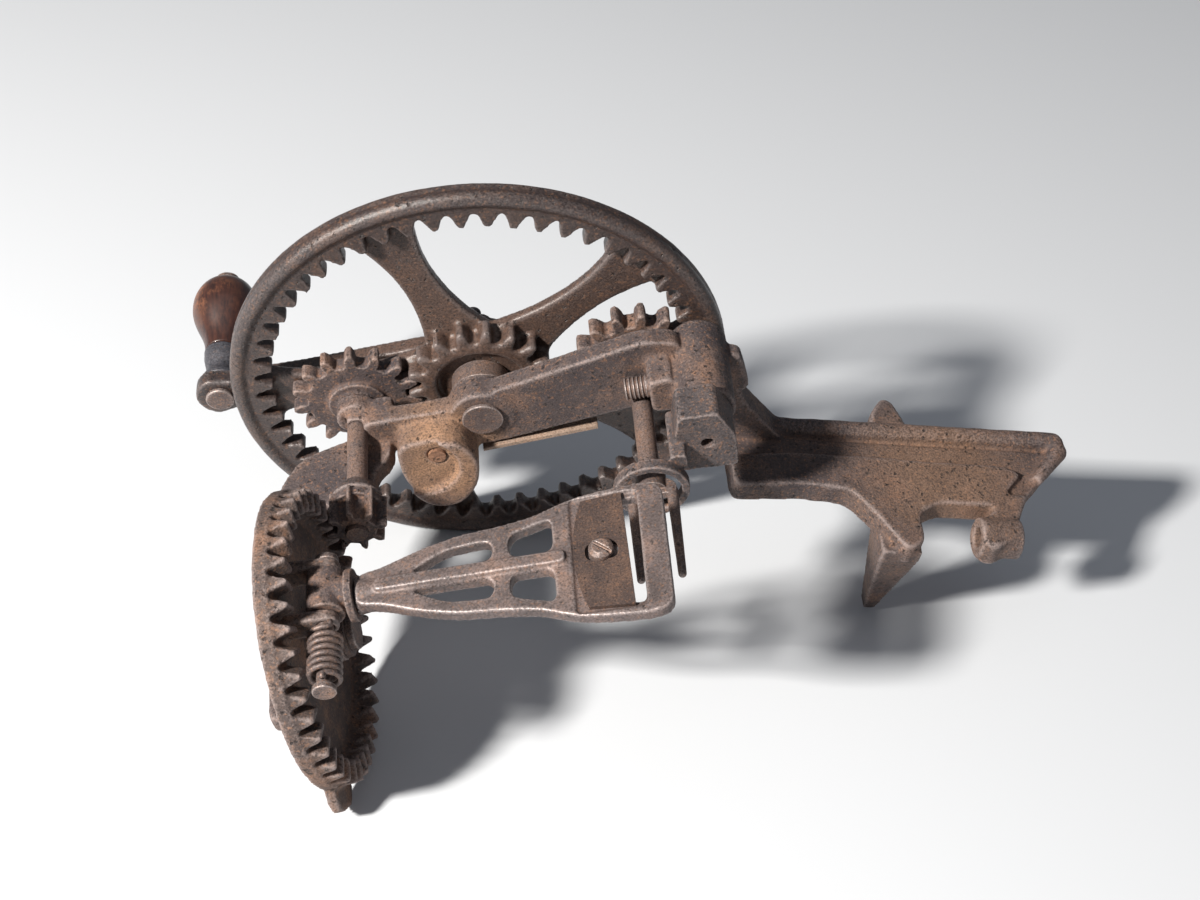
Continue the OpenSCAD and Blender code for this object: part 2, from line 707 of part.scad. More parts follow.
module blade_screw() color(steel) on_arm()
    translate([blade_screw_x, arm_face_y - 1 + blade_t, 0]) rotate([-90, 0, 0]) difference() {
        union() {
            rod(2.2, -arm_t - 1.5, 1);
            rod(3.8, 0, 1.6);
            translate([0, 0, 1.6]) cylinder(r1 = 3.8, r2 = 2.6, h = 1);
        }
        rotate(-40) translate([-6, -0.55, 1.4]) cube([12, 1.1, 3]);
    }

// Fork and push-off

module on_fork() machine() translate([fork_x, 0, 0]) children();

module fork_pinion() color(cast_iron) on_fork() difference() {
    union() {
        slab(gear_points(gear_module, fork_teeth, gear_add, gear_ded, tooth_slack), gear_back, gear_front);
        rod(9, gear_back, fork_boss_back - side_gap);
    }
    rod(fork_r + seat_gap, gear_back - 1, fork_boss_back + 1);
}

module fork_shaft() color(steel) on_fork() rod(fork_r, gear_back, fork_base_z + fork_base_t - 1.6);

module fork() color(steel) on_fork() difference() {
    tine_r = 1.9;
    tip_r = 1.35;
    shoulder = fork_base_z + fork_base_t;
    union() {
        rod(5, fork_base_z, shoulder);
        translate([0, 0, shoulder])
            side_slab(soft([[-tine_x - 1.6, -2], [-tine_x - 1.6, 2], [tine_x + 1.6, 2], [tine_x + 1.6, -2],
                            [tine_x - 2, -4.5], [2 - tine_x, -4.5]], 2.4), -tine_r + 0.3, tine_r - 0.3);
        for (side = [-1, 1]) translate([side * tine_x, 0, 0]) {
            translate([0, 0, shoulder]) cylinder(r1 = tine_r, r2 = tip_r, h = tine_tip_z - tip_r - shoulder);
            translate([0, 0, tine_tip_z - tip_r]) sphere(r = tip_r);
        }
    }
    rod(fork_r + seat_gap, fork_base_z - 1, shoulder - 1.5);
}

module push_off() color(cast_iron) machine() difference() {
    plate_front = push_plate_back + push_plate_t;
    union() {
        translate([guide_x, guide_y, 0])
            slab(soft([[-11.5, -12], [-11.5, 2], [-9, 14], [4, 13.5], [8.5, 2], [8, -13]], 2),
                 push_plate_back, plate_front);
        translate([fork_x, 0, 0])
            slab(soft([[7.5, 5.5], [7.5, 11], [13, 11], [13, 5.5]], 1.2), push_plate_back, push_collar_back);
    }
    translate([guide_x - 1, guide_y, 0]) rod(push_hole_r, plate_front - 4, plate_front + 5);
    translate([guide_x, guide_y, 0])
        rod(push_rod_r - 1 + seat_gap, push_plate_back - 1, push_plate_back + 7);
}

// The ring stands on the block's rib and passes round the fork
module push_ring() color(cast_iron) machine() translate([fork_x, 0, 0]) difference() {
    rod(push_collar_r, push_collar_back, push_collar_back + push_collar_t);
    rod(push_bore_r, push_collar_back - 1, push_collar_back + push_collar_t + 1);
}

module push_rod() color(steel) machine() translate([guide_x, guide_y, 0]) {
    rod(push_rod_r, push_plate_back - push_reach, push_plate_back - seat_gap);
    rod(push_rod_r - 1, push_plate_back - 1, push_plate_back + 6.8);
}

// Screws, leaf and rivets on the frame

module set_screw() color(steel) machine() translate([0, set_screw_y, set_screw_z]) {
    thread_pitch = 1.35;
    core_r = set_screw_r - 0.7;
    rod_x(core_r, fork_x - 4.5, fork_x + 12.5);
    rod_x(set_screw_r, fork_x + 3.2, fork_x + 12.5);
    for (i = [0:5]) translate([fork_x - 4.6 + thread_pitch * i, 0, 0]) rotate([0, 90, 0]) rotate_extrude()
        polygon([[0, 0], [core_r - 0.1, 0], [set_screw_r, 0.35], [set_screw_r, 0.65], [core_r - 0.1, 1],
                 [0, 1]]);
}

// Along the leaf's rivet, from the leaf's outer face
module on_leaf() translate([leaf_x0 + 4, leaf_y - leaf_t, bar_back + 4]) rotate([90, 0, 0]) children();

module leaf_spring() color(rust) machine() difference() {
    far = leaf_x0 + 40;
    side_slab([[leaf_x0, bar_back], [leaf_x0, bar_front + 1], [far, bar_front - 1], [far, bar_back + 2]],
              leaf_y - leaf_t, leaf_y);
    on_leaf() rod(leaf_pin_r + seat_gap, -10, 10);
}

module leaf_rivet() color(steel) machine() on_leaf() {
    rod(leaf_pin_r, -5, 0.5);
    difference() {
        sphere(r = 2.6);
        rod(4, -6, 0);
    }
}

module lug_rivet() color(rust) machine() translate([lug_x, lug_y, 0]) rod(3, lug_front - 6, lug_front + 0.5);

frame();
drive_wheel();
wheel_axle();
axle_washer();
axle_cotter();
handle_stud();
handle_ferrule();
handle_grip();
mid_gear();
mid_shaft();
drive_pinion();
turntable();
table_stud();
stud_washer();
hinge_pin();
arm_hub();
arm_spring();
knife_arm();
knife_blade();
blade_screw();
fork_pinion();
fork_shaft();
fork();
push_off();
push_ring();
push_rod();
set_screw();
leaf_spring();
leaf_rivet();
lug_rivet();
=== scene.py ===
# %% [markdown]
# # An old apple peeler
#
# This lesson dresses a hand cranked apple peeler of cast iron: a geared wheel, a turntable with a knife
# arm, a fork, and a stem that clamps to a table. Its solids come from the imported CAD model, so the lesson
# is about what time has done to them: edges that went round, pits, rust and worn wood.

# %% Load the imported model
import json
import math

import bmesh
import bpy
import numpy as np
from mathutils import Matrix, Vector

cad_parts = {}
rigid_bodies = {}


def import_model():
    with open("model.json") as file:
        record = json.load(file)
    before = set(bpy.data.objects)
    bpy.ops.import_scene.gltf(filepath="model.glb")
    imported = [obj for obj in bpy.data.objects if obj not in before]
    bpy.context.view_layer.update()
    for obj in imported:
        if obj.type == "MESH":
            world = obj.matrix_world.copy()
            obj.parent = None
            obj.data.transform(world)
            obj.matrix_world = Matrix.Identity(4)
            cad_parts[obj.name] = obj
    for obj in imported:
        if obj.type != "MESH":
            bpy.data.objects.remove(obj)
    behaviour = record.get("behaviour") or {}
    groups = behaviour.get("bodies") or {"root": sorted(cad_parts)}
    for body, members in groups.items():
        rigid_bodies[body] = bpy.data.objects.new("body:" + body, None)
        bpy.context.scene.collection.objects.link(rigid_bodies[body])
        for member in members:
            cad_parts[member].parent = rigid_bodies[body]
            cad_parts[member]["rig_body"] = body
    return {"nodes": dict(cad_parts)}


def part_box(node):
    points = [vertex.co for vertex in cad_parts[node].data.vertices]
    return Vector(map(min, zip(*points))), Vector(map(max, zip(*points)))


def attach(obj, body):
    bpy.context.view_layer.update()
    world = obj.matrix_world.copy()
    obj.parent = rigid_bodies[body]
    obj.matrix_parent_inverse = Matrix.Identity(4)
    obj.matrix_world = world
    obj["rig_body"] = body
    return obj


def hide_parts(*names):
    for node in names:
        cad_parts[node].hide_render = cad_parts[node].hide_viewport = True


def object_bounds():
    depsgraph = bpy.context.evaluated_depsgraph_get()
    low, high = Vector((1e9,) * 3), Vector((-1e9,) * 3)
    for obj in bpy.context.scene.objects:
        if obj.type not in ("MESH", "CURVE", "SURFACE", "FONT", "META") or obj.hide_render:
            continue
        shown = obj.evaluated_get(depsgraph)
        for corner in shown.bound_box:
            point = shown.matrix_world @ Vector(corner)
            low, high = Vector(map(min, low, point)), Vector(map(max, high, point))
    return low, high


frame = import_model()
cad_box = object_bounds()
nodes = frame["nodes"]
scene = bpy.context.scene
mm = 0.001
print("nodes:", len(nodes), "box:", [tuple(round(x, 4) for x in corner) for corner in cad_box])

# %% [markdown]
# ## The camera
#
# The peeler lies on its side in the photograph, and the model stands upright. Instead of laying the model
# down, the camera is turned: its own right, down and forward directions are given in the model's frame.
# A long lens keeps the perspective as flat as the photograph's.

# %% Place the camera
camera_place = Vector((0.51265, -0.40944, 0.22895))
camera_right = Vector((0.168035, -0.073412, -0.983043))
camera_down = Vector((-0.643030, -0.764015, -0.052859))
camera_ahead = Vector((-0.747180, 0.641008, -0.175588))

lens = bpy.data.cameras.new("photo_lens")
lens.lens = 60
lens.sensor_width = 36
lens.clip_start = 0.01
camera = bpy.data.objects.new("photo_camera", lens)
turn = Matrix((camera_right, -camera_down, -camera_ahead)).transposed()
camera.matrix_world = Matrix.Translation(camera_place) @ turn.to_4x4()
scene.collection.objects.link(camera)
scene.camera = camera
print("camera looks along", tuple(round(x, 3) for x in camera_ahead))

# %% [markdown]
# ## The floor
#
# The peeler rests on its wheel, its handle and its clamp. The floor's direction is known from the picture,
# and its height is found by measuring: the lowest point of the model along the floor's own up direction.
# The floor is seen from one side only, so that it doesn't hide the model in views from behind.

# %% Lay the floor under the model
floor_up = Vector((0.97255, 0.22029, 0.07478)).normalized()


def lowest_along(direction):
    """How far down the model reaches along a direction."""
    reach = []
    for node in nodes.values():
        places = np.empty(len(node.data.vertices) * 3, np.float32)
        node.data.vertices.foreach_get("co", places)
        reach.append((places.reshape(-1, 3) @ np.array(direction, np.float32)).min())
    return float(min(reach))


floor_gap = 0.6 * mm
floor_size = 4.0
floor_height = lowest_along(floor_up) - floor_gap
floor_mesh = bpy.data.meshes.new("floor")
sheet = bmesh.new()
bmesh.ops.create_grid(sheet, x_segments=1, y_segments=1, size=floor_size)
bmesh.ops.rotate(sheet, verts=sheet.verts, matrix=floor_up.to_track_quat("Z", "Y").to_matrix())
bmesh.ops.translate(sheet, verts=sheet.verts, vec=floor_up * floor_height)
sheet.to_mesh(floor_mesh)
sheet.free()
floor = bpy.data.objects.new("floor", floor_mesh)
scene.collection.objects.link(floor)
print("floor height along its up direction:", round(floor_height, 4))

# %% [markdown]
# ## The light
#
# In the photograph one strong light comes from the left, a little towards the viewer. A studio version of
# it is a small square lamp at the same angle, which gives the shadow a soft edge. A wide, weak lamp above
# and a pale world fill the dark side.

# %% Hang the lamps
middle = (cad_box[0] + cad_box[1]) / 2
to_viewer = (camera_place - middle) - floor_up * (camera_place - middle).dot(floor_up)
to_viewer.normalize()
to_left = to_viewer.cross(floor_up)


def hang_lamp(name, direction, distance, size, power, colour):
    """A square lamp that hangs in a direction from the model and points at it."""
    lamp = bpy.data.lights.new(name, "AREA")
    lamp.size = size
    lamp.energy = power
    lamp.color = colour
    hung = bpy.data.objects.new(name, lamp)
    away = direction.normalized()
    spot = Matrix.Translation(middle + away * distance)
    hung.matrix_world = spot @ away.to_track_quat("Z", "Y").to_matrix().to_4x4()
    scene.collection.objects.link(hung)
    return hung


key_side = to_left * 1.02 + to_viewer * 1.1 + floor_up
sky_side = floor_up * 1.2 + to_viewer * 0.2
hang_lamp("key_lamp", key_side, distance=1.7, size=0.16, power=72, colour=(1.0, 0.96, 0.9))
hang_lamp("sky_lamp", sky_side, distance=1.8, size=1.6, power=3, colour=(0.92, 0.96, 1.0))

world = bpy.data.worlds.new("pale_room")
world.use_nodes = True
world.node_tree.nodes["Background"].inputs["Color"].default_value = (0.86, 0.9, 1.0, 1)
world.node_tree.nodes["Background"].inputs["Strength"].default_value = 0.17
scene.world = world
scene.view_settings.view_transform = "Standard"

# %% [markdown]
# ## Small helpers for materials
#
# Materials are built from nodes. Short helpers keep each recipe readable: one adds a node and fills its
# sockets with numbers or links, one lays a colour over another by a mask, two work on values, and one
# starts a group.

# %% Node helpers
def put(tree, kind, settings=None, **inputs):
    """Adds a shader node, and fills its sockets with numbers, colours or other nodes' outputs."""
    node = tree.nodes.new("ShaderNode" + kind)
    for name, value in (settings or {}).items():
        setattr(node, name, value)
    for name, value in inputs.items():
        socket = node.inputs[name.replace("_", " ")]
        if isinstance(value, bpy.types.NodeSocket):
            tree.links.new(value, socket)
        else:
            socket.default_value = value
    return node


def lay_over(tree, mask, under, over):
    """The colour under, with the colour over on top of it where the mask is 1."""
    node = tree.nodes.new("ShaderNodeMix")
    node.data_type = "RGBA"
    colours = [s for s in node.inputs if s.type == "RGBA"]
    for socket, value in zip([node.inputs[0], *colours], [mask, under, over]):
        if isinstance(value, bpy.types.NodeSocket):
            tree.links.new(value, socket)
        else:
            socket.default_value = value
    return [s for s in node.outputs if s.type == "RGBA"][0]


def stretch(tree, value, low, high, to_low=0.0, to_high=1.0):
    """A value between low and high, stretched to another range and cut off at its ends."""
    return put(tree, "MapRange", None, Value=value, From_Min=low, From_Max=high,
               To_Min=to_low, To_Max=to_high).outputs[0]


def sums(tree, kind, first, second):
    """One sum on two values: ADD, MULTIPLY, MAXIMUM and so on."""
    node = tree.nodes.new("ShaderNodeMath")
    node.operation = kind
    for socket, value in zip(node.inputs, (first, second)):
        if isinstance(value, bpy.types.NodeSocket):
            tree.links.new(value, socket)
        else:
            socket.default_value = value
    return node.outputs[0]


def new_group(name, inputs, outputs):
    """An empty shader group with named sockets, and its two end nodes."""
    group = bpy.data.node_groups.new(name, "ShaderNodeTree")
    for label, kind, value in inputs:
        socket = group.interface.new_socket(label, in_out="INPUT", socket_type="NodeSocket" + kind)
        if value is not None:
            socket.default_value = value
    for label in outputs:
        group.interface.new_socket(label, in_out="OUTPUT", socket_type="NodeSocketFloat")
    return group, group.nodes.new("NodeGroupInput"), group.nodes.new("NodeGroupOutput")


print("helpers ready")

# %% [markdown]
# ## The skin of old iron
#
# Sand casting leaves a grainy skin, and rust eats small pits into it. Several noises at different sizes do
# this: a fine grain, pits that gather in places, specks of rust and large soft blotches. It is a group,
# because every iron piece has it, each with its own grain size.

# %% Group: casting skin
skin, skin_in, skin_out = new_group(
    "casting_skin", [("Place", "Vector", None), ("Grain", "Float", 1400.0)],
    ["Grit", "Pits", "Specks", "Blotch", "Height"])
grain = skin_in.outputs["Grain"]
place = skin_in.outputs["Place"]
grit = put(skin, "TexNoise", None, Vector=place, Scale=grain, Detail=5.0, Roughness=0.68).outputs[0]
cluster = put(skin, "TexNoise", None, Vector=place, Scale=sums(skin, "MULTIPLY", grain, 0.14),
              Detail=4.0, Roughness=0.6).outputs[0]
blotch = put(skin, "TexNoise", None, Vector=place, Scale=sums(skin, "MULTIPLY", grain, 0.045),
             Detail=5.0, Roughness=0.62).outputs[0]
cells = put(skin, "TexVoronoi", None, Vector=place, Scale=sums(skin, "MULTIPLY", grain, 0.27),
            Randomness=1.0).outputs["Distance"]
holes = stretch(skin, sums(skin, "ADD", cells, sums(skin, "MULTIPLY", grit, 0.8)), 0.46, 0.66, 1.0, 0.0)
pits = sums(skin, "MULTIPLY", holes, stretch(skin, cluster, 0.43, 0.57))
specks = stretch(skin, put(skin, "TexNoise", None, Vector=place,
                           Scale=sums(skin, "MULTIPLY", grain, 0.6), Detail=3.0).outputs[0], 0.55, 0.68)
bumps = sums(skin, "ADD", sums(skin, "MULTIPLY", grit, 0.7), sums(skin, "MULTIPLY", cluster, 0.9))
for label, value in (("Grit", grit), ("Pits", pits), ("Specks", specks), ("Blotch", blotch),
                     ("Height", sums(skin, "SUBTRACT", bumps, sums(skin, "MULTIPLY", pits, 1.1)))):
    skin.links.new(value, skin_out.inputs[label])
print("group", skin.name, "has", len(skin.nodes), "nodes")

# %% [markdown]
# ## Wear on edges, dirt in hollows
#
# Hands and table tops polish the edges of an old tool, while rust and dirt stay in its corners. Each cast
# piece carries a measured value named relief: 0.5 on flat skin, more on an edge, less in a hollow. This
# group turns it into two ragged masks, with a noise that breaks up their borders.

# %% Group: worn relief
worn, worn_in, worn_out = new_group(
    "worn_relief", [("Relief", "Float", 0.5), ("Breakup", "Float", 0.5)], ["Edge", "Hollow"])
ragged = sums(worn, "MULTIPLY", sums(worn, "SUBTRACT", worn_in.outputs["Breakup"], 0.5), 0.5)
uneven = sums(worn, "ADD", worn_in.outputs["Relief"], ragged)
worn.links.new(stretch(worn, uneven, 0.55, 0.76), worn_out.inputs["Edge"])
worn.links.new(stretch(worn, uneven, 0.45, 0.26), worn_out.inputs["Hollow"])
print("group", worn.name, "has", len(worn.nodes), "nodes")

# %% [markdown]
# ## Dust in one place
#
# Some faces are far dustier than the rest, such as the lug in front of the bar and the clamp's plate.
# This group gives a ragged patch round a centre, so a material can say where its rust dust is.

# %% Group: dust patch
patch, patch_in, patch_out = new_group(
    "rust_patch", [("Place", "Vector", None), ("Centre", "Vector", None), ("Radius", "Float", 0.02),
                   ("Breakup", "Float", 0.5)], ["Patch"])
apart = put(patch, "VectorMath", {"operation": "DISTANCE"})
patch.links.new(patch_in.outputs["Place"], apart.inputs[0])
patch.links.new(patch_in.outputs["Centre"], apart.inputs[1])
reach = sums(patch, "DIVIDE", apart.outputs["Value"], patch_in.outputs["Radius"])
ragged_edge = sums(patch, "MULTIPLY", sums(patch, "SUBTRACT", patch_in.outputs["Breakup"], 0.5), 1.8)
shifted = sums(patch, "ADD", reach, ragged_edge)
patch.links.new(stretch(patch, shifted, 1.1, 0.35), patch_out.inputs["Patch"])
print("group", patch.name, "has", len(patch.nodes), "nodes")

# %% [markdown]
# ## Iron finishes
#
# One recipe makes every iron finish. From the bottom up it lays a body colour in two tones, rust specks,
# rust in hollows, patches of dust, dark grain and pits, and at the top the bare worn edges, which are also
# smoother.

# %% Recipe for old iron
def use_group(tree, group, **inputs):
    """A group placed in a material, with its sockets filled."""
    node = tree.nodes.new("ShaderNodeGroup")
    node.node_tree = group
    for name, value in inputs.items():
        socket = node.inputs[name]
        if isinstance(value, bpy.types.NodeSocket):
            tree.links.new(value, socket)
        else:
            socket.default_value = value
    return node.outputs


def old_iron(name, body, deep, rust, bare, grain=1400.0, specks=0.5, rusty=0.35, wear=0.8, rough=0.72,
             gloss=0.45, metal=0.0, depth=0.0006, relief=True, dust=None, patches=()):
    """An iron finish. Colours are (red, green, blue); patches are (centre, radius, strength) of dust."""
    made = bpy.data.materials.new(name)
    made.use_nodes = True
    tree = made.node_tree
    shader = tree.nodes["Principled BSDF"]
    where = put(tree, "TexCoord").outputs["Object"]
    coat = use_group(tree, skin, Place=where, Grain=grain)
    tone = lay_over(tree, stretch(tree, coat["Blotch"], 0.36, 0.64), (*deep, 1), (*body, 1))
    shade = sums(tree, "MULTIPLY", stretch(tree, coat["Grit"], 0.56, 0.36), 0.75)
    tone = lay_over(tree, sums(tree, "MULTIPLY", coat["Specks"], specks), tone, (*rust, 1))
    stains = sums(tree, "MULTIPLY", stretch(tree, coat["Blotch"], 0.5, 0.7), rusty)
    edge = sums(tree, "MULTIPLY", stretch(tree, coat["Grit"], 0.5, 0.75), 0.4 * wear)
    if relief:
        measured = put(tree, "Attribute", {"attribute_name": "relief"}).outputs["Fac"]
        rubbed = use_group(tree, worn, Relief=measured, Breakup=coat["Grit"])
        edge = sums(tree, "MULTIPLY", rubbed["Edge"], wear)
        stains = sums(tree, "MAXIMUM", stains, sums(tree, "MULTIPLY", rubbed["Hollow"], rusty))
    tone = lay_over(tree, stains, tone, (*rust, 1))
    for centre, radius, strength in patches:
        spot = use_group(tree, patch, Place=where, Centre=centre, Radius=radius, Breakup=coat["Blotch"])
        tone = lay_over(tree, sums(tree, "MULTIPLY", spot["Patch"], strength), tone, (*dust, 1))
    grain_dark = tuple(0.4 * c for c in deep)
    pit_dark = tuple(0.22 * c for c in deep)
    tone = lay_over(tree, shade, tone, (*grain_dark, 1))
    tone = lay_over(tree, sums(tree, "MULTIPLY", coat["Pits"], 0.88), tone, (*pit_dark, 1))
    tone = lay_over(tree, edge, tone, (*bare, 1))
    tree.links.new(tone, shader.inputs["Base Color"])
    tree.links.new(stretch(tree, edge, 0.0, 1.0, rough, gloss), shader.inputs["Roughness"])
    tree.links.new(stretch(tree, edge, 0.0, 1.0, metal, min(1.0, metal + 0.45)), shader.inputs["Metallic"])
    bump = put(tree, "Bump", None, Strength=0.9, Distance=depth, Height=coat["Height"])
    tree.links.new(bump.outputs["Normal"], shader.inputs["Normal"])
    return made


brown = (0.104, 0.074, 0.066)
plum = (0.046, 0.034, 0.036)
orange_rust = (0.30, 0.145, 0.075)
tan_dust = (0.36, 0.20, 0.11)
bare_iron = (0.31, 0.25, 0.235)
print("iron recipe ready")

# %% [markdown]
# ## One finish for each kind of casting
#
# The frame is brown with rust dust on its lug and clamp, the wheel's spokes are dustier than its dark rim,
# the turntable is rusty outside, and the knife arm is the most handled piece, so it is pale and smooth.

# %% Make the iron finishes
lug_low, lug_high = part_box("lug_rivet")
lug_face = (lug_low + lug_high) / 2 + Vector((-0.004, 0, -0.004))
clamp_plate = Vector((0.001, 0.022, -0.012))
wheel_low, wheel_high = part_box("axle_washer")
wheel_middle = (wheel_low + wheel_high) / 2

iron = {
    "frame": old_iron("frame_iron", brown, plum, orange_rust, bare_iron, specks=0.45, rusty=0.35, wear=0.55,
                      dust=tan_dust, patches=[(lug_face, 0.023, 0.75), (clamp_plate, 0.036, 0.35)]),
    "drive_wheel": old_iron("wheel_iron", (0.046, 0.034, 0.032), (0.024, 0.018, 0.019), (0.20, 0.10, 0.055),
                            (0.21, 0.18, 0.175), specks=0.5, rusty=0.25, wear=0.4, rough=0.36, gloss=0.26,
                            depth=0.0003, dust=(0.175, 0.105, 0.075),
                            patches=[(wheel_middle, 0.08, 0.4)]),
    "gears": old_iron("gear_iron", (0.12, 0.083, 0.073), plum, orange_rust, (0.33, 0.25, 0.22),
                      rusty=0.45, wear=0.6),
    "turntable": old_iron("turntable_iron", (0.13, 0.085, 0.068), (0.06, 0.042, 0.038), orange_rust,
                          bare_iron, rusty=0.6, wear=0.6),
    "knife_arm": old_iron("arm_iron", (0.165, 0.128, 0.122), (0.09, 0.07, 0.067), (0.32, 0.16, 0.085),
                          (0.40, 0.345, 0.335), specks=0.35, rusty=0.25, wear=0.6, rough=0.55, gloss=0.36,
                          metal=0.25, depth=0.00009),
    "push_off": old_iron("push_off_iron", (0.092, 0.074, 0.073), (0.046, 0.037, 0.039), orange_rust,
                         bare_iron, rusty=0.25, wear=0.6),
}
print("iron finishes:", sorted(m.name for m in iron.values()))

# %% [markdown]
# ## Steel, blade and spring
#
# Shafts, pins and screws are turned steel: smoother than the castings, with less rust. The blade is thin
# sheet with a dark brown patina. Pieces that stay as CAD solids have no relief, so these don't use it.

# %% Make the steel finishes
steel_brown = (0.17, 0.128, 0.115)
steel_deep = (0.095, 0.07, 0.066)
steel_rust = (0.33, 0.165, 0.09)
steel = {
    "shaft": old_iron("shaft_steel", steel_brown, steel_deep, steel_rust, (0.38, 0.32, 0.305), grain=1800.0,
                      rusty=0.35, wear=0.7, rough=0.55, metal=0.35, depth=0.00008, relief=False),
    "blade": old_iron("blade_steel", (0.105, 0.070, 0.058), (0.066, 0.046, 0.041), (0.30, 0.15, 0.08),
                      (0.25, 0.19, 0.165), grain=1900.0, specks=0.35, rusty=0.2, wear=0.35, rough=0.5,
                      metal=0.35, depth=0.00005, relief=False),
    "leaf": old_iron("leaf_steel", (0.36, 0.26, 0.20), (0.24, 0.17, 0.13), orange_rust, (0.48, 0.38, 0.31),
                     grain=1600.0, rusty=0.3, wear=0.5, rough=0.6, metal=0.1, depth=0.00008, relief=False),
    "ferrule": old_iron("ferrule_steel", (0.085, 0.085, 0.10), (0.05, 0.05, 0.06), (0.2, 0.12, 0.08),
                        (0.3, 0.28, 0.28), grain=1500.0, specks=0.2, rusty=0.12, wear=0.5, rough=0.48,
                        metal=0.3, depth=0.0001, relief=False),
    "rusted": old_iron("rivet_rust", (0.33, 0.17, 0.095), (0.2, 0.10, 0.06), orange_rust,
                       (0.42, 0.27, 0.18), rusty=0.6, wear=0.4, relief=False),
}
print("steel finishes:", sorted(m.name for m in steel.values()))

# %% [markdown]
# ## Worn wood
#
# The grip is a turned knob of hardwood with a dark red varnish. Palms have worn it through in patches,
# where orange wood with fine scratches shows. A noise stretched along the handle's axis gives the grain.

# %% Make the wood finish
def worn_wood(name, worn_place):
    """Varnished wood that is worn through round a place."""
    made = bpy.data.materials.new(name)
    made.use_nodes = True
    tree = made.node_tree
    shader = tree.nodes["Principled BSDF"]
    where = put(tree, "TexCoord").outputs["Object"]
    along = put(tree, "Mapping", None, Vector=where, Scale=(1.0, 0.16, 1.0)).outputs[0]
    rings = put(tree, "TexNoise", None, Vector=along, Scale=900.0, Detail=5.0, Roughness=0.6).outputs[0]
    wornness = put(tree, "TexNoise", None, Vector=where, Scale=95.0, Detail=6.0, Roughness=0.7).outputs[0]
    scratch = put(tree, "TexNoise", None, Vector=along, Scale=2600.0, Detail=3.0).outputs[0]
    spot = use_group(tree, patch, Place=where, Centre=worn_place, Radius=0.016, Breakup=wornness)["Patch"]
    varnish = lay_over(tree, stretch(tree, rings, 0.35, 0.65), (0.020, 0.009, 0.008, 1),
                       (0.050, 0.019, 0.013, 1))
    wood = lay_over(tree, rings, (0.15, 0.055, 0.027, 1), (0.30, 0.12, 0.055, 1))
    through = sums(tree, "MULTIPLY", stretch(tree, wornness, 0.47, 0.62), spot)
    through = sums(tree, "MULTIPLY", through, stretch(tree, scratch, 0.35, 0.6))
    tree.links.new(lay_over(tree, through, varnish, wood), shader.inputs["Base Color"])
    tree.links.new(stretch(tree, through, 0.0, 1.0, 0.36, 0.6), shader.inputs["Roughness"])
    relief = sums(tree, "ADD", sums(tree, "MULTIPLY", rings, 0.4), sums(tree, "MULTIPLY", wornness, 0.8))
    bump = put(tree, "Bump", None, Strength=0.5, Distance=0.00015, Height=relief)
    tree.links.new(bump.outputs["Normal"], shader.inputs["Normal"])
    shader.inputs["Coat Weight"].default_value = 0.15
    return made


grip_low, grip_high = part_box("handle_grip")
grip_middle = (grip_low + grip_high) / 2
knob_top = grip_middle + Vector((0.006, 0.006, 0.008))
wood = worn_wood("worn_wood", knob_top)
print("wood finish:", wood.name)

# %% [markdown]
# ## Castings with soft edges
#
# A casting has no sharp edge. A bevel would have to find every edge of a gear, so here each casting is
# remade instead: a copy of the CAD solid is merged, rebuilt in small square faces, smoothed a little, and
# pushed in and out by a soft noise. The bend at each point is then measured and kept as relief.

# %% Helper: remake a casting
def measure_relief(mesh, spread, gain):
    """Keeps how much each point bulges (over 0.5) or sinks (under 0.5) as an attribute."""
    count = len(mesh.vertices)
    places = np.empty(count * 3, np.float32)
    facing = np.empty(count * 3, np.float32)
    pairs = np.empty(len(mesh.edges) * 2, np.int32)
    mesh.vertices.foreach_get("co", places)
    mesh.vertex_normals.foreach_get("vector", facing)
    mesh.edges.foreach_get("vertices", pairs)
    places, facing, pairs = places.reshape(-1, 3), facing.reshape(-1, 3), pairs.reshape(-1, 2)
    first, second = pairs[:, 0], pairs[:, 1]
    step = places[second] - places[first]
    length = np.maximum(np.linalg.norm(step, axis=1), 1e-9)
    links = np.bincount(pairs.ravel(), minlength=count).clip(1)
    bulge = np.bincount(first, -np.einsum("ij,ij->i", step, facing[first]) / length, count)
    bulge += np.bincount(second, np.einsum("ij,ij->i", step, facing[second]) / length, count)
    bulge /= links
    for _ in range(spread):
        near = np.bincount(first, bulge[second], count) + np.bincount(second, bulge[first], count)
        bulge = 0.4 * bulge + 0.6 * near / links
    kept = mesh.attributes.new("relief", "FLOAT", "POINT")
    kept.data.foreach_set("value", np.clip(0.5 + gain * bulge, 0, 1).astype(np.float32))


def soft_noise(name, size):
    """A cloud texture for the Displace modifier."""
    clouds = bpy.data.textures.new(name, "CLOUDS")
    clouds.noise_scale = size
    return clouds


uneven_skin = soft_noise("uneven_skin", 0.007)


